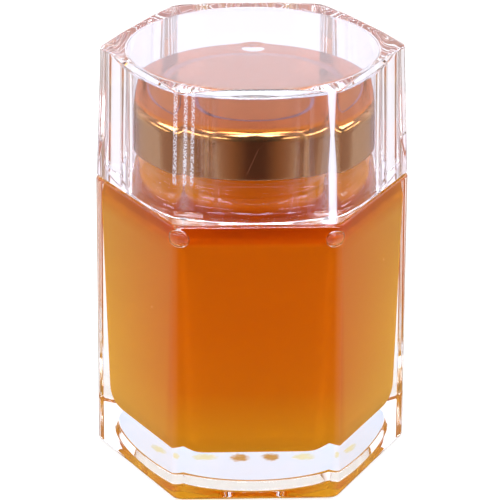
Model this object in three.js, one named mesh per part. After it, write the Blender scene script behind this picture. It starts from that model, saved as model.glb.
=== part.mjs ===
// A small hexagonal honey jar: a clear glass jar with a round neck, the honey that fills it,
// a pressed metal screw lid, and a clear outer cap that stands over the lid on the jar's shoulder.
// Units are millimetres. +Z is up, the jar stands on z = 0, and one flat side faces -Y.
import * as THREE from 'three';

// Sides of the jar and of the cap
const SIDES = 6;
const HALF_SIDE = Math.PI / SIDES;
// Angles of the points on one side, in degrees from the corner, close together round the corner
const CORNER_ANGLES = [-19, -12, -5, -2.4, -1.2, 0, 1.2, 2.4, 5, 12, 19, 30];

// Gap between pieces that touch
const GAP = 0.3;

// Jar body
const BASE_FLATS = 51.6;
const SHOULDER_FLATS = 50.9;
const BODY_CORNER = 2.4;
const HEEL_RADIUS = 0.8;
const SHOULDER_HEIGHT = 54.8;
const SHOULDER_EDGE = 0.9;

// Shallow round recess under the foot
const RECESS_RADIUS = 19.4;
const RECESS_DEPTH = 2;
const RECESS_DRAFT = 0.9;
const RECESS_ROUND = 0.5;

// Neck and its two rings
const NECK_RADIUS = 19.9;
const NECK_FILLET = 2.2;
const RIM_HEIGHT = 70.8;
const RIM_ROUND = 0.8;
const RING_HEIGHTS = [58.9, 61.3];
const RING_RADIUS = 0.8;
const RING_OUT = 0.5;

// Inside of the glass
const MOUTH_RADIUS = 17.4;
const FLOOR_THICKNESS = 7.5;
const FLOOR_ROUND = 4.5;
const WALL_AT_SHOULDER = 2.1;
const WALL_AT_BASE = 4.6;
const CAVITY_TOP = 52;
const CAVITY_CORNER_TOP = 1.5;
const CAVITY_CORNER_BOTTOM = 3;
const CAVITY_SHOULDER_ROUND = 1.6;
const THROAT_ROUND = 2.5;

// Free height between the honey and the rim
const HONEY_BELOW_RIM = 1.2;

// Screw lid
const LID_RADIUS = 22.9;
const LID_BOTTOM = 62.8;
const LID_TOP = 71.9;
const LID_SHEET = 0.55;
const LID_SHOULDER = 2;
const LID_HEM = 0.35;
const PANEL_RADIUS = 15.9;
const PANEL_DEPTH = 0.45;
const PANEL_STEP = 0.6;
const LID_SEGMENTS = 72;

// Clear cap
const CAP_BOTTOM_FLATS = 50.7;
const CAP_TOP_FLATS = 48.9;
const CAP_CORNER = 2.2;
const CAP_TOP = 80.4;
const CAP_PLATE = 1.75;
const CAP_BORE_TOP = 23.4;
const CAP_BORE_BOTTOM = 23.6;
const CAP_BORE_ROUND = 0.5;
const CAP_CHAMFER_RADIUS = 25.6;
const CAP_CHAMFER_DROP = 0.4;
const CAP_FOOT_EDGE = 0.4;
const CAP_TOP_MARGIN = 0.3;

// One level section: a hexagon with rounded corners, or a circle where the corner radius
// is as large as the distance from the axis to the flats.
function section(z, apothem, corner = apothem) {
  return { z, apothem, corner: Math.min(corner, apothem) };
}

// Distance from the axis to a section's edge, at an angle from the nearest corner
function edgeRadius({ apothem, corner }, angle) {
  const centre = (apothem - corner) / Math.cos(HALF_SIDE);
  const arcEnd = HALF_SIDE - Math.atan2(centre * Math.sin(HALF_SIDE), apothem);
  if (Math.abs(angle) >= arcEnd) return apothem / Math.cos(HALF_SIDE - Math.abs(angle));
  const across = centre * Math.sin(angle);
  return centre * Math.cos(angle) + Math.sqrt(corner ** 2 - across ** 2);
}

// The points of one section, anticlockwise seen from above.
// Where given, place(radius) changes a point's distance from the axis and its height.
function ring(sec, place = (radius) => [radius, sec.z]) {
  const points = [];
  for (let side = 0; side < SIDES; side += 1) {
    CORNER_ANGLES.forEach((degrees) => {
      const fromCorner = THREE.MathUtils.degToRad(degrees);
      const angle = (2 * side + 1) * HALF_SIDE - Math.PI / 2 + fromCorner;
      const [radius, z] = place(edgeRadius(sec, fromCorner));
      points.push(new THREE.Vector3(radius * Math.cos(angle), radius * Math.sin(angle), z));
    });
  }
  return points;
}

// A closed surface through a chain of rings, between two points on the axis.
// The chain runs up the outside and down the inside, so the faces point outward.
function loft(startZ, rings, endZ) {
  const positions = [0, 0, startZ];
  rings.flat().forEach((point) => positions.push(point.x, point.y, point.z));
  positions.push(0, 0, endZ);
  const count = rings[0].length;
  const end = rings.length * count + 1;
  const at = (row, step) => 1 + row * count + (step % count);
  const index = [];
  for (let step = 0; step < count; step += 1) {
    index.push(0, at(0, step + 1), at(0, step));
    index.push(end, at(rings.length - 1, step), at(rings.length - 1, step + 1));
    for (let row = 0; row + 1 < rings.length; row += 1) {
      index.push(at(row, step), at(row, step + 1), at(row + 1, step + 1));
      index.push(at(row, step), at(row + 1, step + 1), at(row + 1, step));
    }
  }
  const geometry = new THREE.BufferGeometry();
  geometry.setAttribute('position', new THREE.Float32BufferAttribute(positions, 3));
  geometry.setIndex(index);
  geometry.computeVertexNormals();
  return geometry;
}

// Points [radius, z] along an arc of a profile, with angles in degrees from straight outward
function arc(radius, z, bend, from, to, steps) {
  const points = [];
  for (let step = 0; step <= steps; step += 1) {
    const angle = THREE.MathUtils.degToRad(from + ((to - from) * step) / steps);
    points.push([radius + bend * Math.cos(angle), z + bend * Math.sin(angle)]);
  }
  return points;
}

// Profile points [radius, z] as round sections
const roundSections = (points) => points.map(([radius, z]) => section(z, radius));

// Profile points [apothem, z] as sections with one corner radius
const hexSections = (points, corner) => points.map(([apothem, z]) => section(z, apothem, corner));

// The jar's outside, from the recess under its foot up to the neck's rim
function jarOutside() {
  const base = BASE_FLATS / 2;
  const top = SHOULDER_FLATS / 2;
  const recess = [
    ...arc(RECESS_RADIUS - RECESS_ROUND, RECESS_DEPTH - RECESS_ROUND, RECESS_ROUND, 90, 0, 2),
    [RECESS_RADIUS + RECESS_DRAFT, 0],
  ];
  const heel = arc(base - HEEL_RADIUS, HEEL_RADIUS, HEEL_RADIUS, -90, 0, 4);
  const shoulder = arc(top - SHOULDER_EDGE, SHOULDER_HEIGHT - SHOULDER_EDGE, SHOULDER_EDGE, 0, 90, 4);
  const root = NECK_RADIUS + NECK_FILLET;
  const fillet = arc(root, SHOULDER_HEIGHT + NECK_FILLET, NECK_FILLET, 270, 180, 4);
  const rim = arc(NECK_RADIUS - RIM_ROUND, RIM_HEIGHT - RIM_ROUND, RIM_ROUND, 0, 90, 2);
  return [
    ...roundSections(recess),
    ...hexSections(heel, BODY_CORNER),
    ...hexSections(shoulder, BODY_CORNER),
    ...roundSections([...fillet, ...neckRings(), ...rim]),
  ];
}

// The two low rings on the neck, each a small arc that stands out from it
function neckRings() {
  return RING_HEIGHTS.flatMap((height) => [
    [NECK_RADIUS, height - RING_RADIUS],
    ...arc(NECK_RADIUS, height, RING_OUT, -45, 45, 2),
    [NECK_RADIUS, height + RING_RADIUS],
  ]);
}

// The space inside the glass from the mouth down to the floor, drawn in by a margin
function jarInside(top, margin) {
  const wallTop = SHOULDER_FLATS / 2 - WALL_AT_SHOULDER - margin;
  const wallFoot = BASE_FLATS / 2 - WALL_AT_BASE - margin;
  const throat = MOUTH_RADIUS - margin;
  const floor = FLOOR_THICKNESS + margin;
  const throatFoot = CAVITY_TOP - margin;
  const flare = arc(throat + THROAT_ROUND, throatFoot + THROAT_ROUND, THROAT_ROUND, 180, 240, 2);
  const under = arc(
    wallTop - CAVITY_SHOULDER_ROUND,
    throatFoot - CAVITY_SHOULDER_ROUND,
    CAVITY_SHOULDER_ROUND,
    60,
    0,
    3,
  );
  const foot = arc(wallFoot - FLOOR_ROUND, floor + FLOOR_ROUND, FLOOR_ROUND, 0, -90, 4);
  return [
    ...roundSections([[throat, top], ...flare]),
    ...hexSections(under, CAVITY_CORNER_TOP),
    ...hexSections(foot, CAVITY_CORNER_BOTTOM),
  ];
}

function jarGlass() {
  const rimInside = [MOUTH_RADIUS + RIM_ROUND, RIM_HEIGHT];
  const rings = [
    ...jarOutside(),
    ...roundSections([rimInside]),
    ...jarInside(RIM_HEIGHT - RIM_ROUND, 0),
  ];
  return loft(RECESS_DEPTH, rings.map((sec) => ring(sec)), FLOOR_THICKNESS);
}

// The honey fills the jar's inside, from the floor up to just under the rim
function honeyFill() {
  const top = RIM_HEIGHT - HONEY_BELOW_RIM;
  const rings = jarInside(top, GAP).reverse();
  return loft(FLOOR_THICKNESS + GAP, rings.map((sec) => ring(sec)), top);
}

// The lid: thin sheet with a rounded shoulder, a raised margin, a panel one step lower
// and a rolled hem at its foot.
function screwLid() {
  const outer = LID_RADIUS;
  const inner = LID_RADIUS - LID_SHEET;
  const panel = LID_TOP - PANEL_DEPTH;
  const inside = [
    [0, panel - LID_SHEET],
    [PANEL_RADIUS + PANEL_STEP / 2, panel - LID_SHEET],
    [PANEL_RADIUS + PANEL_STEP, LID_TOP - LID_SHEET],
    ...arc(outer - LID_SHOULDER, LID_TOP - LID_SHOULDER, LID_SHOULDER - LID_SHEET, 90, 0, 4),
    [inner, LID_BOTTOM + 2 * LID_HEM],
    [inner - LID_HEM, LID_BOTTOM + LID_HEM],
  ];
  const outside = [
    [inner, LID_BOTTOM],
    ...arc(outer - LID_HEM, LID_BOTTOM + LID_HEM, LID_HEM, -60, 0, 2),
    ...arc(outer - LID_SHOULDER, LID_TOP - LID_SHOULDER, LID_SHOULDER, 0, 90, 5),
    [PANEL_RADIUS + PANEL_STEP, LID_TOP],
    [PANEL_RADIUS, panel],
    [0, panel],
  ];
  const profile = [...inside, ...outside].map(([radius, z]) => new THREE.Vector2(radius, z));
  const geometry = new THREE.LatheGeometry(profile, LID_SEGMENTS);
  return geometry.rotateX(Math.PI / 2);
}

// The clear cap: six drafted sides, a round bore from below, a closed top, and a shallow
// cone that takes its top corners down.
function clearCap() {
  const foot = SHOULDER_HEIGHT + GAP;
  const bottom = CAP_BOTTOM_FLATS / 2;
  const ceiling = CAP_TOP - CAP_PLATE;
  const topEdge = section(CAP_TOP, CAP_TOP_FLATS / 2, CAP_CORNER);
  const slope = CAP_CHAMFER_DROP / (edgeRadius(topEdge, 0) - CAP_CHAMFER_RADIUS);
  const cone = (radius) => [radius, CAP_TOP - slope * Math.max(0, radius - CAP_CHAMFER_RADIUS)];
  const disc = (radius) => [Math.min(radius - CAP_TOP_MARGIN, CAP_CHAMFER_RADIUS), CAP_TOP];
  const bore = [
    ...arc(CAP_BORE_TOP - CAP_BORE_ROUND, ceiling - CAP_BORE_ROUND, CAP_BORE_ROUND, 90, 0, 2),
    [CAP_BORE_BOTTOM, foot],
  ];
  const sides = [
    [bottom - CAP_FOOT_EDGE, foot],
    [bottom, foot + CAP_FOOT_EDGE],
  ];
  return loft(
    ceiling,
    [
      ...roundSections(bore).map((sec) => ring(sec)),
      ...hexSections(sides, CAP_CORNER).map((sec) => ring(sec)),
      ring(topEdge, cone),
      ring(topEdge, disc),
    ],
    CAP_TOP,
  );
}

function piece(name, geometry, look) {
  const mesh = new THREE.Mesh(geometry, new THREE.MeshStandardMaterial(look));
  mesh.name = name;
  return mesh;
}

const CLEAR_GLASS = { color: 0xf2f0fa, roughness: 0.04, metalness: 0, transparent: true, opacity: 0.35 };
const CLEAR_PLASTIC = { color: 0xf6f0fa, roughness: 0.05, metalness: 0, transparent: true, opacity: 0.3 };
const AMBER_HONEY = { color: 0xc66208, roughness: 0.3, metalness: 0 };
const GOLD_METAL = { color: 0xb47a4a, roughness: 0.28, metalness: 1 };

const honeyJar = new THREE.Group();
honeyJar.add(piece('jar_glass', jarGlass(), CLEAR_GLASS));
honeyJar.add(piece('honey', honeyFill(), AMBER_HONEY));
honeyJar.add(piece('lid', screwLid(), GOLD_METAL));
honeyJar.add(piece('cap', clearCap(), CLEAR_PLASTIC));

export default honeyJar;
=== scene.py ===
import math

import bmesh
import bpy
from mathutils import Matrix, Vector


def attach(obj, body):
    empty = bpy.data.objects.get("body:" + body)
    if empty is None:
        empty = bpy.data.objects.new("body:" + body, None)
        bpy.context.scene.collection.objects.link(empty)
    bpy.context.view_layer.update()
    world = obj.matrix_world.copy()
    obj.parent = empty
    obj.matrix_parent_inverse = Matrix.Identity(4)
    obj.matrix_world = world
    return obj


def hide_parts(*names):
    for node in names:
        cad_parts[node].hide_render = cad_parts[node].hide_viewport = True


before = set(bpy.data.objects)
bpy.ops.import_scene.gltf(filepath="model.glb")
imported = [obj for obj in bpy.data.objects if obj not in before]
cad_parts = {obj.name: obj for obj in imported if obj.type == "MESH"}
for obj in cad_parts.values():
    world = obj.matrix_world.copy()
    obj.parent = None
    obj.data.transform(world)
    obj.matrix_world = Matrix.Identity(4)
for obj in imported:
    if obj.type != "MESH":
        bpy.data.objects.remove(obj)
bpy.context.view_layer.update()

# Sizes below are in millimetres, as the jar is drawn, and become metres where a mesh is made.
# Places inside materials are in metres, as the shader nodes give them.
MM = 0.001
BODY = "root"

# Sides and points of one level section
SIDES = 6
HALF_SIDE = math.pi / SIDES
CORNER_POINTS = 12
FLAT_POINTS = 5
CIRCLE_CORNER_SHARE = 0.35
SUPPORT = 0.12
INNER_RING = 8
NEXT_RING = 0.1

# Jar, outside
BASE_APOTHEM = 25.8
SHOULDER_APOTHEM = 25.45
BODY_CORNER = 2.4
HEEL_RADIUS = 0.8
RECESS_RADIUS = 19.4
RECESS_DEPTH = 2.0
RECESS_ROUND = 0.5
RECESS_DRAFT = 0.9
RECESS_TO_FOOT = 1.7
FROST_RADIUS = RECESS_RADIUS - 0.3
SHOULDER_HEIGHT = 54.8
SHOULDER_EDGE = 0.45
SHOULDER_RING = 2.6
SHOULDER_RING_CORNER = 6
SHOULDER_RISE = 0.02
NECK_RADIUS = 19.9
NECK_FILLET = 2.2
RIM_HEIGHT = 70.8
RIM_ROUND = 0.8
RIM_DEPTH = 4
RING_HEIGHTS = (58.9, 61.3)
RING_HALF_HEIGHT = 0.8
RING_OUT = 0.5
RING_GAP = 0.2
MOUTH_RADIUS = 17.4

# Jar, inside
FLOOR_THICKNESS = 7.5
FLOOR_ROUND = 4.5
FLOOR_RING = 9
FLOOR_RING_CORNER = 5
WALL_AT_SHOULDER = 2.1
WALL_AT_BASE = 4.6
CAVITY_TOP = 52
CAVITY_CORNER_TOP = 1.5
CAVITY_CORNER_BOTTOM = 3
CAVITY_SHOULDER_ROUND = 1.6
CAVITY_SHOULDER_DROP = 0.3
THROAT_ROUND = 2.5
THROAT_FOOT = 1.2
THROAT_RING = 2.4
THROAT_RING_RISE = 0.2
ROOF_RING = 3.2
ROOF_RING_CORNER = 8
INSIDE_TOP = 6

# Air bubbles in the glass: angle, distance from the axis, height, half sizes
BUBBLES = {
    "bubble_left": (-120, 27.6, 52.3, (0.7, 1.9, 1.7)),
    "bubble_right": (-60, 27.6, 52.0, (0.7, 1.7, 1.6)),
}

# Brown and yellow patches on the roof of the recess: centre and half size, each as x and y
BROWN_PATCHES = [((-2.6, -4.6), (2.3, 3.2)), ((3.3, -4.4), (2.2, 3.0))]
YELLOW_PATCHES = [((-9.2, -3.9), (3.0, 2.6)), ((9.6, -4.4), (2.8, 2.6))]

# Honey
HONEY_BELOW_RIM = 1.2
HONEY_INTO_WALL = 0.08

# Lid
LID_RADIUS = 22.9
LID_BOTTOM = 62.8
LID_TOP = 71.9
LID_SHEET = 0.4
LID_SHOULDER = 2.0
CURL_HEIGHT = 0.9
CURL_WIDTH = 0.4
CURL_LIP = 0.1
CURL_ROUND = 0.15
CURL_TOP_ROUND = 0.2
LID_EDGE_ROUND = 0.3
PANEL_RADIUS = 15.9
PANEL_DEPTH = 0.35
PANEL_SLOPE = 1.5
PANEL_UNDER = PANEL_RADIUS - 0.2
PANEL_ABOVE = PANEL_RADIUS - 0.3
PANEL_UNDER_ROUND = 0.5
PANEL_ABOVE_ROUND = 0.6

# Cap
CAP_FOOT = 55.1
CAP_FOOT_ROUND = 0.4
CAP_BOTTOM_APOTHEM = 25.35
CAP_TOP_APOTHEM = 24.45
CAP_CORNER = 2.2
CAP_TOP = 80.4
CAP_PLATE = 1.75
CAP_TAPER_END = 2.5
CAP_BORE_TOP = 23.4
CAP_BORE_BOTTOM = 23.6
CAP_BORE_ROUND = 0.5
CAP_BORE_FOOT_ROUND = 0.3
CAP_CHAMFER_RADIUS = 25.6
CAP_CHAMFER_DROP = 0.4
CAP_EDGE = 0.25
CAP_EDGE_STEPS = 4
CAP_DISC_GAP = 0.1
CAP_DISC_RING = 0.3
GATE_RADIUS = 2.9
GATE_DROP = 0.10
GATE_SHARES = (0.15, 0.3, 0.45, 0.6, 0.75, 0.9, 1)

# Optics
GLASS_IOR = 1.52
PLASTIC_IOR = 1.49
BLACK = (0, 0, 0, 1)


class Section:
    """A level hexagon with rounded corners, or a circle where the corner is as large as the apothem."""

    def __init__(self, apothem, z, corner=None):
        self.apothem = apothem
        self.z = z
        self.corner = apothem if corner is None else min(corner, apothem)

    def radius(self, angle):
        """Distance from the axis to the edge, at an angle from the nearest corner."""
        centre = self.corner_centre()
        if abs(angle) >= self.arc_end():
            return self.apothem / math.cos(HALF_SIDE - abs(angle))
        across = centre * math.sin(angle)
        return centre * math.cos(angle) + math.sqrt(self.corner**2 - across**2)

    def corner_centre(self):
        """Distance from the axis to the middle of a rounded corner."""
        return (self.apothem - self.corner) / math.cos(HALF_SIDE)

    def arc_end(self):
        """Half the angle that one rounded corner takes, seen from the axis."""
        return HALF_SIDE - math.atan2(self.corner_centre() * math.sin(HALF_SIDE), self.apothem)

    def angles(self):
        """Angles from a corner of the points of one side: its corner, then the flat after it.

        Towards a circle they become evenly spaced."""
        centre = self.corner_centre()
        hexagon = []
        for step in range(CORNER_POINTS + 1):
            turn = HALF_SIDE * (2 * step / CORNER_POINTS - 1)
            x = centre + self.corner * math.cos(turn)
            y = self.corner * math.sin(turn)
            hexagon.append(math.atan2(y, x))
        end = self.arc_end()
        room = 2 * (HALF_SIDE - end)
        near = min(SUPPORT / max(self.apothem, 1), room / 4)
        inner = room - 2 * near
        hexagon += [end + near + inner * step / (FLAT_POINTS - 1) for step in range(FLAT_POINTS)]
        pitch = 2 * HALF_SIDE / len(hexagon)
        even = [(step - CORNER_POINTS / 2) * pitch for step in range(len(hexagon))]
        share = self.corner / self.apothem
        weight = min(1, max(0, (share - CIRCLE_CORNER_SHARE) / (1 - CIRCLE_CORNER_SHARE)))
        return [a * (1 - weight) + b * weight for a, b in zip(hexagon, even)]


def ring(section, place=None):
    """The section's points; place(radius) may change a point's radius and height."""
    points = []
    for side in range(SIDES):
        corner = (2 * side + 1) * HALF_SIDE - math.pi / 2
        for angle in section.angles():
            folded = (angle + HALF_SIDE) % (2 * HALF_SIDE) - HALF_SIDE
            radius = section.radius(folded)
            z = section.z
            if place:
                radius, z = place(radius)
            points.append((radius * math.cos(corner + angle), radius * math.sin(corner + angle), z))
    return points


def loft(name, start_z, rows, end_z):
    """A closed mesh through a chain of rings of points, between two points on the axis."""
    built = bmesh.new()
    start = built.verts.new((0, 0, start_z * MM))
    end = built.verts.new((0, 0, end_z * MM))
    loops = [[built.verts.new(tuple(c * MM for c in point)) for point in row] for row in rows]
    count = len(loops[0])
    for step in range(count):
        nxt = (step + 1) % count
        built.faces.new((start, loops[0][nxt], loops[0][step]))
        built.faces.new((end, loops[-1][step], loops[-1][nxt]))
        for low, high in zip(loops, loops[1:]):
            built.faces.new((low[step], low[nxt], high[nxt], high[step]))
    bmesh.ops.recalc_face_normals(built, faces=built.faces)
    mesh = bpy.data.meshes.new(name)
    built.to_mesh(mesh)
    built.free()
    mesh.shade_smooth()
    piece = bpy.data.objects.new(name, mesh)
    bpy.context.scene.collection.objects.link(piece)
    return piece


def rounded(profile, steps):
    """Sections along a profile of vertices (apothem, z, corner, fillet).

    A fillet becomes an arc, with a section close before and after it that keeps the faces beside
    it flat. The first and last vertices stay as they are."""
    out = [Section(*profile[0][:3])]
    for before, here, after in zip(profile, profile[1:], profile[2:]):
        corner, fillet = here[2:]
        at = Vector(here[:2])
        come = (at - Vector(before[:2])).normalized()
        go = (Vector(after[:2]) - at).normalized()
        turn = come.angle(go)
        if fillet <= 0 or turn < 1e-3:
            out.append(Section(at.x, at.y, corner))
            continue
        reach = fillet * math.tan(turn / 2)
        first = at - come * reach
        bend = (go - come).normalized()
        centre = at + bend * (fillet / math.cos(turn / 2))
        out.append(Section(*(first - come * SUPPORT), corner))
        spoke = first - centre
        side = 1 if come.x * go.y - come.y * go.x > 0 else -1
        for step in range(steps + 1):
            angle = side * turn * step / steps
            cos, sin = math.cos(angle), math.sin(angle)
            point = centre + Vector((spoke.x * cos - spoke.y * sin, spoke.x * sin + spoke.y * cos))
            out.append(Section(point.x, point.y, corner))
        last = at + go * reach
        out.append(Section(*(last + go * SUPPORT), corner))
    out.append(Section(*profile[-1][:3]))
    return out


def neck_ring(height, steps=8):
    """A low smooth ring round the neck."""
    sections = []
    for step in range(steps + 1):
        share = 2 * step / steps - 1
        out = RING_OUT * (0.5 + 0.5 * math.cos(math.pi * share))
        sections.append(Section(NECK_RADIUS + out, height + RING_HALF_HEIGHT * share))
    return sections


def jar_outside():
    """Sections from the roof of the recess, round the foot and up to the mouth."""
    foot_ring = RECESS_RADIUS + RECESS_TO_FOOT
    recess = rounded(
        [
            (INNER_RING, RECESS_DEPTH, None, 0),
            (RECESS_RADIUS, RECESS_DEPTH, None, RECESS_ROUND),
            (RECESS_RADIUS + RECESS_DRAFT, 0, None, RECESS_ROUND),
            (foot_ring, 0, None, 0),
        ],
        steps=5,
    )
    body = rounded(
        [
            (foot_ring + NEXT_RING, 0, None, 0),
            (BASE_APOTHEM, 0, BODY_CORNER, HEEL_RADIUS),
            (SHOULDER_APOTHEM, SHOULDER_HEIGHT, BODY_CORNER, SHOULDER_EDGE),
            (SHOULDER_APOTHEM - SHOULDER_RING, SHOULDER_HEIGHT + SHOULDER_RISE, SHOULDER_RING_CORNER, 0),
        ],
        steps=7,
    )
    neck_foot = rounded(
        [
            (NECK_RADIUS + NECK_FILLET + RING_GAP, SHOULDER_HEIGHT + 2 * SHOULDER_RISE, None, 0),
            (NECK_RADIUS, SHOULDER_HEIGHT + 3 * SHOULDER_RISE, None, NECK_FILLET - NEXT_RING),
            (NECK_RADIUS, RING_HEIGHTS[0] - RING_HALF_HEIGHT - RING_GAP, None, 0),
        ],
        steps=7,
    )
    rings = [section for height in RING_HEIGHTS for section in neck_ring(height)]
    rim = rounded(
        [
            (NECK_RADIUS, RING_HEIGHTS[-1] + RING_HALF_HEIGHT + RING_GAP, None, 0),
            (NECK_RADIUS, RIM_HEIGHT, None, RIM_ROUND),
            (MOUTH_RADIUS, RIM_HEIGHT, None, RIM_ROUND),
            (MOUTH_RADIUS, RIM_HEIGHT - RIM_DEPTH, None, 0),
        ],
        steps=4,
    )
    return recess + body + neck_foot + rings + rim


def jar_inside(top, grow):
    """Sections of the space in the glass, from a height down, made larger all round by grow."""
    wall_top = SHOULDER_APOTHEM - WALL_AT_SHOULDER + grow
    wall_foot = BASE_APOTHEM - WALL_AT_BASE + grow
    throat = MOUTH_RADIUS + grow
    floor = FLOOR_THICKNESS - grow
    roof = CAVITY_TOP + grow
    upper = rounded(
        [
            (throat, top, None, 0),
            (throat, roof + THROAT_FOOT, None, THROAT_ROUND),
            (throat + THROAT_RING, roof + THROAT_RING_RISE, throat, 0),
        ],
        steps=4,
    )
    lower = rounded(
        [
            (throat + ROOF_RING, roof, ROOF_RING_CORNER, 0),
            (wall_top, roof - CAVITY_SHOULDER_DROP, CAVITY_CORNER_TOP, CAVITY_SHOULDER_ROUND),
            (wall_foot, floor, CAVITY_CORNER_BOTTOM, FLOOR_ROUND),
            (FLOOR_RING, floor, FLOOR_RING_CORNER, 0),
        ],
        steps=7,
    )
    return upper + lower


def make_jar():
    """The glass, from the roof of its recess round the outside and down to the floor inside."""
    sections = jar_outside() + jar_inside(RIM_HEIGHT - INSIDE_TOP, 0)
    return loft("jar_glass_clear", RECESS_DEPTH, [ring(s) for s in sections], FLOOR_THICKNESS)


def frost_recess(jar, look):
    """Gives the roof of the recess under the jar a look of its own."""
    jar.data.materials.append(look)
    for face in jar.data.polygons:
        centre = face.center / MM
        level = math.isclose(centre.z, RECESS_DEPTH, abs_tol=0.05)
        if level and math.hypot(centre.x, centre.y) < FROST_RADIUS:
            face.material_index = 1


def make_honey():
    """Fills the glass up to the level shown and reaches just into its wall, so that no air gap shows."""
    top = RIM_HEIGHT - HONEY_BELOW_RIM
    sections = jar_inside(top, HONEY_INTO_WALL)
    return loft("honey_fill", top, [ring(s) for s in sections], FLOOR_THICKNESS - HONEY_INTO_WALL)


def make_lid():
    """One metal sheet: from the middle under the panel, round the curled edge and back on top."""
    inner = LID_RADIUS - LID_SHEET
    panel = LID_TOP - PANEL_DEPTH
    sections = rounded(
        [
            (INNER_RING, panel - LID_SHEET, None, 0),
            (PANEL_UNDER, panel - LID_SHEET, None, PANEL_UNDER_ROUND),
            (PANEL_UNDER + PANEL_SLOPE, LID_TOP - LID_SHEET, None, PANEL_UNDER_ROUND),
            (inner, LID_TOP - LID_SHEET, None, LID_SHOULDER - LID_SHEET),
            (inner, LID_BOTTOM + CURL_HEIGHT, None, CURL_TOP_ROUND),
            (inner - CURL_WIDTH, LID_BOTTOM + CURL_HEIGHT / 2, None, CURL_ROUND),
            (inner - CURL_LIP, LID_BOTTOM, None, CURL_ROUND),
            (LID_RADIUS, LID_BOTTOM, None, LID_EDGE_ROUND),
            (LID_RADIUS, LID_TOP, None, LID_SHOULDER),
            (PANEL_ABOVE + PANEL_SLOPE, LID_TOP, None, PANEL_ABOVE_ROUND),
            (PANEL_ABOVE, panel, None, PANEL_ABOVE_ROUND),
            (INNER_RING, panel, None, 0),
        ],
        steps=6,
    )
    return loft("lid_metal", panel - LID_SHEET, [ring(s) for s in sections], panel)


def make_cap():
    """The cap, with a cone cut over its corners and a low round mould mark under its ceiling.

    Its rings run from the mould mark down the bore, up the outside and over the top."""
    ceiling = CAP_TOP - CAP_PLATE
    top = Section(CAP_TOP_APOTHEM, CAP_TOP, CAP_CORNER)
    slope = CAP_CHAMFER_DROP / (top.radius(0) - CAP_CHAMFER_RADIUS)

    def cone(radius):
        return CAP_TOP - slope * max(0, radius - CAP_CHAMFER_RADIUS)

    def edge(lower, inset):
        return ring(top, lambda radius: (radius - inset, cone(radius - inset) - lower))

    def disc(inset):
        def place(radius):
            return min(radius - CAP_EDGE - CAP_DISC_GAP, CAP_CHAMFER_RADIUS) - inset, CAP_TOP

        return ring(top, place)

    sections = []
    for share in GATE_SHARES:
        drop = GATE_DROP * math.cos(math.pi / 2 * share) ** 2
        sections.append(Section(GATE_RADIUS * share, ceiling - drop))
    sections += rounded(
        [
            (INNER_RING, ceiling, None, 0),
            (CAP_BORE_TOP, ceiling, None, CAP_BORE_ROUND),
            (CAP_BORE_BOTTOM, CAP_FOOT, None, CAP_BORE_FOOT_ROUND),
            (CAP_BOTTOM_APOTHEM, CAP_FOOT, CAP_CORNER, CAP_FOOT_ROUND),
            (CAP_TOP_APOTHEM, CAP_TOP - CAP_TAPER_END, CAP_CORNER, 0),
        ],
        steps=5,
    )
    rows = [ring(s) for s in sections]
    for step in range(CAP_EDGE_STEPS + 1):
        angle = math.pi / 2 * step / CAP_EDGE_STEPS
        rows.append(edge(CAP_EDGE * (1 - math.sin(angle)), CAP_EDGE * (1 - math.cos(angle))))
    rows += [disc(0), disc(CAP_DISC_RING)]
    return loft("cap_clear", ceiling - GATE_DROP, rows, CAP_TOP)


def make_bubble(name, angle, radius, z, size):
    """A flat air bubble in the glass, by a corner of the honey. Its faces point inward."""
    bpy.ops.mesh.primitive_uv_sphere_add(segments=32, ring_count=20)
    bubble = bpy.context.object
    bubble.name = name
    turn = math.radians(angle)
    bubble.data.transform(Matrix.Diagonal((size[0] * MM, size[1] * MM, size[2] * MM, 1)))
    bubble.data.transform(Matrix.Rotation(turn, 4, "Z"))
    bubble.data.transform(Matrix.Translation(Vector((math.cos(turn), math.sin(turn), 0)) * radius * MM))
    bubble.data.transform(Matrix.Translation((0, 0, z * MM)))
    bubble.data.flip_normals()
    bubble.data.shade_smooth()
    return bubble


def material(name, **values):
    """A Principled material, with values for its sockets, such as base_color for Base Color."""
    made = bpy.data.materials.new(name)
    made.use_nodes = True
    sockets = {socket.name.lower().replace(" ", "_"): socket for socket in principled(made)}
    for key, value in values.items():
        sockets[key].default_value = value
    return made


def principled(look):
    """The sockets of a material's Principled shader."""
    return look.node_tree.nodes["Principled BSDF"].inputs


def put(tree, socket, value):
    """Sets a socket to a constant, or links it to another node's output."""
    if isinstance(value, (int, float, tuple)):
        socket.default_value = value
    else:
        tree.links.new(value, socket)


def arithmetic(tree, operation, first, second=0):
    node = tree.nodes.new("ShaderNodeMath")
    node.operation = operation
    for socket, value in zip(node.inputs, (first, second)):
        put(tree, socket, value)
    return node.outputs[0]


def fold(tree, operation, *values):
    """One value from several, two at a time."""
    result = values[0]
    for value in values[1:]:
        result = arithmetic(tree, operation, result, value)
    return result


def combine(tree, first, by_first, second, by_second):
    """The sum of two values, each times a number."""
    left = arithmetic(tree, "MULTIPLY", first, by_first)
    return arithmetic(tree, "ADD", left, arithmetic(tree, "MULTIPLY", second, by_second))


def sum_of_squares(tree, first, second):
    squares = [arithmetic(tree, "MULTIPLY", value, value) for value in (first, second)]
    return arithmetic(tree, "ADD", *squares)


def map_range(tree, value, source, target, curve="SMOOTHSTEP"):
    ranged = tree.nodes.new("ShaderNodeMapRange")
    ranged.interpolation_type = curve
    ranged.inputs["From Min"].default_value, ranged.inputs["From Max"].default_value = source
    ranged.inputs["To Min"].default_value, ranged.inputs["To Max"].default_value = target
    tree.links.new(value, ranged.inputs["Value"])
    return ranged.outputs["Result"]


def band(tree, value, centre, half, fade):
    """One within half of the centre, falling to nought at fade."""
    away = arithmetic(tree, "ABSOLUTE", arithmetic(tree, "SUBTRACT", value, centre))
    return map_range(tree, away, (half, fade), (1, 0))


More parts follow.
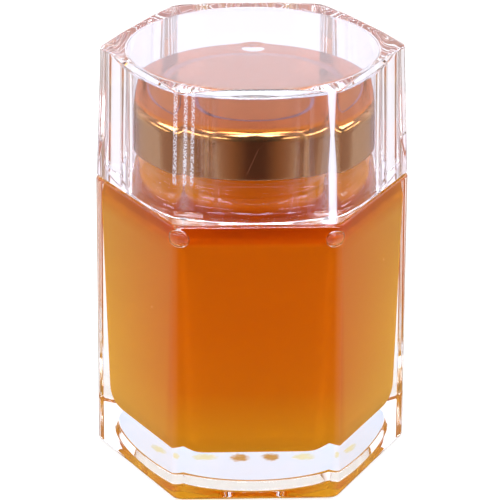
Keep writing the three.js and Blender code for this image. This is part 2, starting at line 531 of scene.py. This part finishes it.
def ramp(tree, value, stops, span):
    """Colours along a value, from stops (value, colour) that lie inside the span."""
    low, high = span
    node = tree.nodes.new("ShaderNodeValToRGB")
    elements = node.color_ramp.elements
    while len(elements) < len(stops):
        elements.new(0.5)
    for element, (at, colour) in zip(elements, stops):
        element.position = (at - low) / (high - low)
        element.color = (*colour, 1)
    tree.links.new(map_range(tree, value, span, (0, 1), "LINEAR"), node.inputs[0])
    return node.outputs["Color"]


def levels(tree, value, stops, span):
    """Plain numbers along a value, from stops (value, number)."""
    return ramp(tree, value, [(at, (level,) * 3) for at, level in stops], span)


def blend(tree, factor, first, second):
    """A colour between two."""
    node = tree.nodes.new("ShaderNodeMix")
    node.data_type = "RGBA"
    kinds = (("Factor", "VALUE"), ("A", "RGBA"), ("B", "RGBA"))
    for kind, value in zip(kinds, (factor, first, second)):
        put(tree, next(s for s in node.inputs if (s.name, s.type) == kind), value)
    return next(s for s in node.outputs if s.type == "RGBA")


def noise(tree, place, scale, detail=2):
    node = tree.nodes.new("ShaderNodeTexNoise")
    node.inputs["Scale"].default_value = scale
    node.inputs["Detail"].default_value = detail
    tree.links.new(place, node.inputs["Vector"])
    return node.outputs[0]


def object_axes(tree):
    """The surface's place in metres, whole and as separate x, y and z."""
    place = tree.nodes.new("ShaderNodeTexCoord").outputs["Object"]
    split = tree.nodes.new("ShaderNodeSeparateXYZ")
    tree.links.new(place, split.inputs[0])
    return place, [split.outputs[axis] for axis in "XYZ"]


def recess_look():
    """Frosted white glass with a few brown and yellow patches, and a painted glow, shown only from
    inside the glass, that stands in for light coming up through it.
    """
    look = material(
        "frosted_glass",
        roughness=0.9,
        transmission_weight=1.0,
        ior=GLASS_IOR,
        specular_tint=(0.05, 0.1, 0.2, 1),
        emission_strength=1,
    )
    tree = look.node_tree
    place, (x, y, _) = object_axes(tree)
    ragged = arithmetic(tree, "MULTIPLY", noise(tree, place, 900), 1.2)

    def patch(centre, half):
        sides = [
            arithmetic(tree, "DIVIDE", arithmetic(tree, "SUBTRACT", axis, middle * MM), reach * MM)
            for axis, middle, reach in zip((x, y), centre, half)
        ]
        away = arithmetic(tree, "ADD", sum_of_squares(tree, *sides), ragged)
        return map_range(tree, away, (0.7, 1.5), (1, 0))

    brown, yellow = [
        fold(tree, "MAXIMUM", *[patch(centre, half) for centre, half in patches])
        for patches in (BROWN_PATCHES, YELLOW_PATCHES)
    ]

    def patched(plain, with_yellow, with_brown):
        return blend(tree, brown, blend(tree, yellow, plain, with_yellow), with_brown)

    tint = patched((0.97, 0.97, 1, 1), (0.97, 0.93, 0.55, 1), (0.52, 0.25, 0.05, 1))
    # Painted glow: the plain frost and each patch get their own glow colour, shown only from inside the
    # glass
    painted_glow = patched((0.15, 0.39, 0.66, 1), (0.14, 0.30, 0.26, 1), (0.1, 0.07, 0.01, 1))
    inside = tree.nodes.new("ShaderNodeNewGeometry").outputs["Backfacing"]
    tree.links.new(tint, principled(look)["Base Color"])
    tree.links.new(blend(tree, inside, BLACK, painted_glow), principled(look)["Emission Color"])
    return look


def honey_look():
    """Cloudy amber with painted light: paler and more yellow low down and at the sides, where light
    comes in, a band of painted shade under the shoulder, a brighter neck, and a painted glow that is
    strongest in the neck.
    """
    look = material("amber_honey", roughness=0.5, specular_ior_level=0.0, emission_strength=1)
    tree = look.node_tree
    place, (x, _, z) = object_axes(tree)
    height = (0, 0.07)
    # Heights and colours in the front face and at the far sides; they carry painted light and shade:
    # paler low down, a painted shade band under the shoulder, and brighter in the neck
    middle_stops = [
        (0.0075, (0.62, 0.24, 0.012)),
        (0.0127, (0.59, 0.21, 0.008)),
        (0.021, (0.575, 0.14, 0.003)),
        (0.033, (0.58, 0.125, 0.002)),
        (0.0505, (0.575, 0.118, 0.0015)),
        # Painted shade under the shoulder, then painted light in the neck
        (0.0512, (0.52, 0.066, 0.0)),
        (0.0538, (0.68, 0.095, 0.0)),
        (0.056, (0.85, 0.20, 0.001)),
    ]
    side_stops = [
        (0.008, (0.62, 0.32, 0.035)),
        (0.025, (0.62, 0.31, 0.028)),
        (0.048, (0.54, 0.245, 0.03)),
        # Painted shade under the shoulder, then painted light in the neck
        (0.0510, (0.50, 0.16, 0.006)),
        (0.0538, (0.52, 0.14, 0.002)),
        (0.056, (0.90, 0.32, 0.02)),
    ]
    middle = ramp(tree, z, middle_stops, height)
    side = ramp(tree, z, side_stops, height)
    aside = arithmetic(tree, "ABSOLUTE", x)
    out = levels(tree, aside, [(0.0137, 0), (0.0145, 0.28), (0.0255, 1)], (0, 0.03))
    # Paler and more yellow towards the sides: painted light
    amber_with_painted_light = blend(tree, out, middle, side)

    cells = tree.nodes.new("ShaderNodeTexVoronoi")
    cells.inputs["Scale"].default_value = 160
    tree.links.new(place, cells.inputs["Vector"])
    specks = map_range(tree, cells.outputs["Distance"], (0.02, 0.045), (0.55, 0))
    tree.links.new(blend(tree, specks, amber_with_painted_light, (0.95, 0.6, 0.25, 1)), principled(look)["Base Color"])

    # A painted glow stands in for light that has scattered inside the honey; it is stronger in the neck
    painted_body_glow = blend(tree, out, blend(tree, 0.21, BLACK, middle), blend(tree, 0.30, BLACK, side))
    to_edge = map_range(tree, aside, (0.004, 0.017), (0, 1))
    painted_neck_glow = blend(tree, to_edge, (0.27, 0.058, 0, 1), (0.34, 0.15, 0.005, 1))
    neck = map_range(tree, z, (0.0538, 0.056), (0, 1))
    tree.links.new(blend(tree, neck, painted_body_glow, painted_neck_glow), principled(look)["Emission Color"])
    return look


def plastic_look():
    """Clear plastic with a rough line in one front corner and rough speckled streaks by the other, both
    given a painted glow, a painted highlight.
    """
    look = material(
        "clear_plastic",
        roughness=0.0,
        transmission_weight=1.0,
        ior=PLASTIC_IOR,
        emission_strength=1,
    )
    tree = look.node_tree
    place, (x, y, z) = object_axes(tree)
    # Unit vector from the axis to the right front corner; the left one is its mirror image
    corner_x, corner_y = 0.5, -0.866
    # Marks across a corner: the middle, half the width, and where it has faded out
    line_mark = (0.0, 0.0006, 0.0011)
    edge_mark = (-0.0006, 0.0003, 0.0006)
    streak_marks = [(0.0013, 0.0001, 0.0004), (0.0024, 0.0001, 0.0004)]

    right_out = map_range(tree, combine(tree, x, corner_x, y, corner_y), (0.0245, 0.0255), (0, 1))
    right_across = combine(tree, x, -corner_y, y, corner_x)
    waist = levels(tree, z, [(0.056, 0.75), (0.066, 0.75), (0.072, 0.35), (0.079, 0.75)], (0.05, 0.08))
    beside = arithmetic(tree, "ADD", right_across, 0.0010)
    line = band(tree, arithmetic(tree, "DIVIDE", beside, waist), *line_mark)
    line = arithmetic(tree, "MULTIPLY", line, right_out)

    left_out = map_range(tree, combine(tree, x, -corner_x, y, corner_y), (0.0240, 0.0250), (0, 1))
    left_across = combine(tree, x, -corner_y, y, -corner_x)
    edge = band(tree, left_across, *edge_mark)
    streaks = [band(tree, left_across, *mark) for mark in streak_marks]
    above = map_range(tree, z, (0.0625, 0.0632), (0, 1))
    speckle = map_range(tree, noise(tree, place, 3600, 3), (0.40, 0.62), (0.15, 1))
    painted_glow_streaks = fold(tree, "MULTIPLY", fold(tree, "MAXIMUM", edge, *streaks), left_out, above, speckle)

    # Both marks glow: a painted highlight in the cap's front corners
    marks = arithmetic(tree, "MAXIMUM", line, painted_glow_streaks)
    sockets = principled(look)
    tint = blend(tree, marks, (0.87, 0.865, 0.935, 1), (0.35, 0.35, 0.38, 1))
    tree.links.new(tint, sockets["Base Color"])
    tree.links.new(blend(tree, marks, BLACK, (0.62, 0.66, 0.8, 1)), sockets["Emission Color"])
    tree.links.new(arithmetic(tree, "MULTIPLY", marks, 0.5), sockets["Roughness"])
    return look


def lid_look():
    """Gold lacquer with a fine grain and a thin scratch in front, with painted light: painted shade on
    the side, a painted highlight tint on the shoulder, and a painted pale line along the panel's step.
    """
    look = material("gold_lacquer", metallic=1.0, specular_tint=(0.66, 0.60, 0.72, 1))
    tree = look.node_tree
    place, (x, y, z) = object_axes(tree)
    # Painted shade darkens the side, and a painted highlight tint lightens the shoulder
    painted_shade_and_highlight_stops = [
        (0.0700, (0.43, 0.22, 0.09)),
        (0.0706, (0.62, 0.34, 0.11)),
        (0.0713, (0.62, 0.30, 0.12)),
        (0.0717, (0.66, 0.20, 0.022)),
    ]
    colour = ramp(tree, z, painted_shade_and_highlight_stops, (0.06, 0.075))

    # Marks: the middle, half the width, and where it has faded out
    step_mark = (0.0163, 0.0003, 0.0007)
    scratch_mark = (-0.0288, 0.00004, 0.0001)
    scratch_height = (0.0665, 0.0022, 0.0026)

    radius = arithmetic(tree, "SQRT", sum_of_squares(tree, x, y))
    on_top = map_range(tree, z, (0.0710, 0.0713), (0, 1))
    # Painted highlight: a pale line along the panel's step
    step = arithmetic(tree, "MULTIPLY", band(tree, radius, *step_mark), on_top)
    colour = blend(tree, step, colour, (0.56, 0.27, 0.21, 1))

    slanted = combine(tree, x, 1, z, -0.42)
    in_front = map_range(tree, y, (-0.021, -0.019), (1, 0))
    scratch = band(tree, slanted, *scratch_mark)
    scratch = fold(tree, "MULTIPLY", scratch, in_front, band(tree, z, *scratch_height))
    colour = blend(tree, scratch, colour, (0.95, 0.6, 0.4, 1))
    tree.links.new(colour, principled(look)["Base Color"])
    fine = map_range(tree, noise(tree, place, 2600), (0.3, 0.7), (0.17, 0.19))
    tree.links.new(fine, principled(look)["Roughness"])
    return look


def dress(piece, node, look):
    """Gives a piece its look and its place in the frame; node is the CAD node that it replaces."""
    piece.data.materials.append(look)
    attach(piece, BODY)
    if node:
        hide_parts(node)


def make_camera():
    """The photo's view: from a little left of the front flat, looking down."""
    focal_px, frame_px, sensor = 2687, 500, 36
    distance, elevation, roll = 507, math.radians(23.42), 0.0053
    azimuth, target = math.radians(-2.2), Vector((-0.352, 0, 39.44))
    data = bpy.data.cameras.new("camera")
    data.sensor_width = sensor
    data.lens = sensor * focal_px / frame_px
    data.clip_start = 0.01
    data.clip_end = 20
    camera = bpy.data.objects.new("camera", data)
    bpy.context.scene.collection.objects.link(camera)
    back = Vector((0, -math.cos(elevation), math.sin(elevation)))
    right = Vector((1, 0, 0))
    up = right.cross(-back)
    tilted = right * math.cos(roll) + up * math.sin(roll)
    upright = up * math.cos(roll) - right * math.sin(roll)
    place = (target + back * distance) * MM
    turn = Matrix((tilted, upright, back)).transposed().to_4x4()
    camera.matrix_world = Matrix.Rotation(azimuth, 4, "Z") @ Matrix.Translation(place) @ turn
    bpy.context.scene.camera = camera


def make_floor():
    """A pale floor, left out of reflections so that the lid mirrors the studio alone."""
    bpy.ops.mesh.primitive_plane_add(size=6)
    floor = bpy.context.object
    floor.name = "floor"
    floor.visible_glossy = False
    floor.location.z = -0.0002
    pale = material(
        "floor_pale",
        base_color=(0.1, 0.1, 0.1, 1),
        roughness=0.9,
        emission_color=(1, 1, 1, 1),
        emission_strength=0.85,
    )
    floor.data.materials.append(pale)


def make_painted_shade_card():
    """A dark glowing sheet on the floor in front, painted shade that stands in for the dark room, seen
    only through the glass and the plastic.
    """
    mesh = bpy.data.meshes.new("card")
    near, far, wide, level = -0.10, -2.9, 2.9, -0.0001
    corners = [(-wide, near, level), (wide, near, level), (wide, far, level), (-wide, far, level)]
    mesh.from_pydata(corners, [], [(0, 3, 2, 1)])
    card = bpy.data.objects.new("card", mesh)
    bpy.context.scene.collection.objects.link(card)
    card.visible_camera = False
    card.visible_diffuse = False
    card.visible_glossy = False
    card.visible_shadow = False
    look = bpy.data.materials.new("card_dark")
    look.use_nodes = True
    tree = look.node_tree
    tree.nodes.clear()
    _, (x, y, _) = object_axes(tree)
    sides = [arithmetic(tree, "ABSOLUTE", axis) for axis in (x, y)]
    aside = arithmetic(tree, "DIVIDE", *sides)
    # Sideways over forward distance from the jar, and colour: painted shade, darkest straight in front,
    # with warmer painted light to the sides
    stops = [
        (0.0, (0.18, 0.09, 0.06)),
        (0.2, (0.20, 0.10, 0.07)),
        (0.6, (0.62, 0.35, 0.18)),
        (1.2, (0.72, 0.46, 0.33)),
        (2.0, (0.80, 0.70, 0.75)),
        (5.0, (0.95, 0.93, 1.0)),
    ]
    glow = tree.nodes.new("ShaderNodeEmission")
    tree.links.new(ramp(tree, aside, stops, (0, 5)), glow.inputs["Color"])
    out = tree.nodes.new("ShaderNodeOutputMaterial")
    tree.links.new(glow.outputs[0], out.inputs["Surface"])
    card.data.materials.append(look)


def make_world():
    """A bright studio behind and above the jar, and in front a dark room with warm sides."""
    world = bpy.data.worlds.new("studio")
    bpy.context.scene.world = world
    world.use_nodes = True
    tree = world.node_tree
    look = tree.nodes.new("ShaderNodeTexCoord")
    split = tree.nodes.new("ShaderNodeSeparateXYZ")
    tree.links.new(look.outputs["Generated"], split.inputs[0])
    behind = map_range(tree, split.outputs["Y"], (0.05, 0.5), (0, 1))
    level = map_range(tree, split.outputs["Z"], (-0.12, 0.12), (0, 1))
    lit = arithmetic(tree, "MULTIPLY", behind, level)
    aside = arithmetic(tree, "ABSOLUTE", split.outputs["X"])
    # How far the view turns sideways, and colour
    side_stops = [
        (0.45, (0.03, 0.026, 0.024)),
        (0.62, (0.30, 0.18, 0.10)),
        (0.85, (0.75, 0.52, 0.38)),
    ]
    room = ramp(tree, aside, side_stops, (0, 1))
    background = tree.nodes["Background"].inputs
    tree.links.new(blend(tree, lit, room, (1.4, 1.38, 1.5, 1)), background["Color"])
    background["Strength"].default_value = 1


def softbox(name, azimuth, elevation, width, height, watts, distance=1.3):
    """A large soft light that faces the jar's lid, with its azimuth counted from the front."""
    data = bpy.data.lights.new(name, "AREA")
    data.shape = "RECTANGLE"
    data.size, data.size_y, data.energy = width, height, watts
    light = bpy.data.objects.new(name, data)
    bpy.context.scene.collection.objects.link(light)
    side, rise = math.radians(azimuth), math.radians(elevation)
    away = Vector((math.sin(side) * math.cos(rise), -math.cos(side) * math.cos(rise), math.sin(rise)))
    light.location = away * distance + Vector((0, 0, 0.06))
    light.rotation_euler = away.to_track_quat("Z", "Y").to_euler()


def make_lights():
    """Two low strips for the lid's sides and two high boxes for its shoulder, alike left and right."""
    softbox("left_fill", -64, 22, 0.9, 0.12, 2.8)
    softbox("right_fill", 64, 22, 0.9, 0.12, 2.8)
    softbox("left_top", -50, 68, 0.8, 0.8, 28)
    softbox("right_top", 50, 68, 0.8, 0.8, 28)


def set_view():
    """True colours, and enough bounces for the glass."""
    scene = bpy.context.scene
    scene.view_settings.view_transform = "Standard"
    scene.cycles.max_bounces = 24
    scene.cycles.transmission_bounces = 24
    scene.cycles.glossy_bounces = 12


glass = material(
    "clear_glass",
    base_color=(1, 1, 1, 1),
    roughness=0.0,
    transmission_weight=1.0,
    ior=GLASS_IOR,
)
air = material(
    "air_in_glass",
    base_color=(1, 0.95, 0.75, 1),
    roughness=0.0,
    transmission_weight=1.0,
    ior=1.45,
)

jar = make_jar()
dress(jar, "jar_glass", glass)
frost_recess(jar, recess_look())
dress(make_honey(), "honey", honey_look())
for bubble_name, bubble_place in BUBBLES.items():
    dress(make_bubble(bubble_name, *bubble_place), None, air)
dress(make_lid(), "lid", lid_look())
dress(make_cap(), "cap", plastic_look())
make_floor()
make_painted_shade_card()
make_world()
make_lights()
make_camera()
set_view()
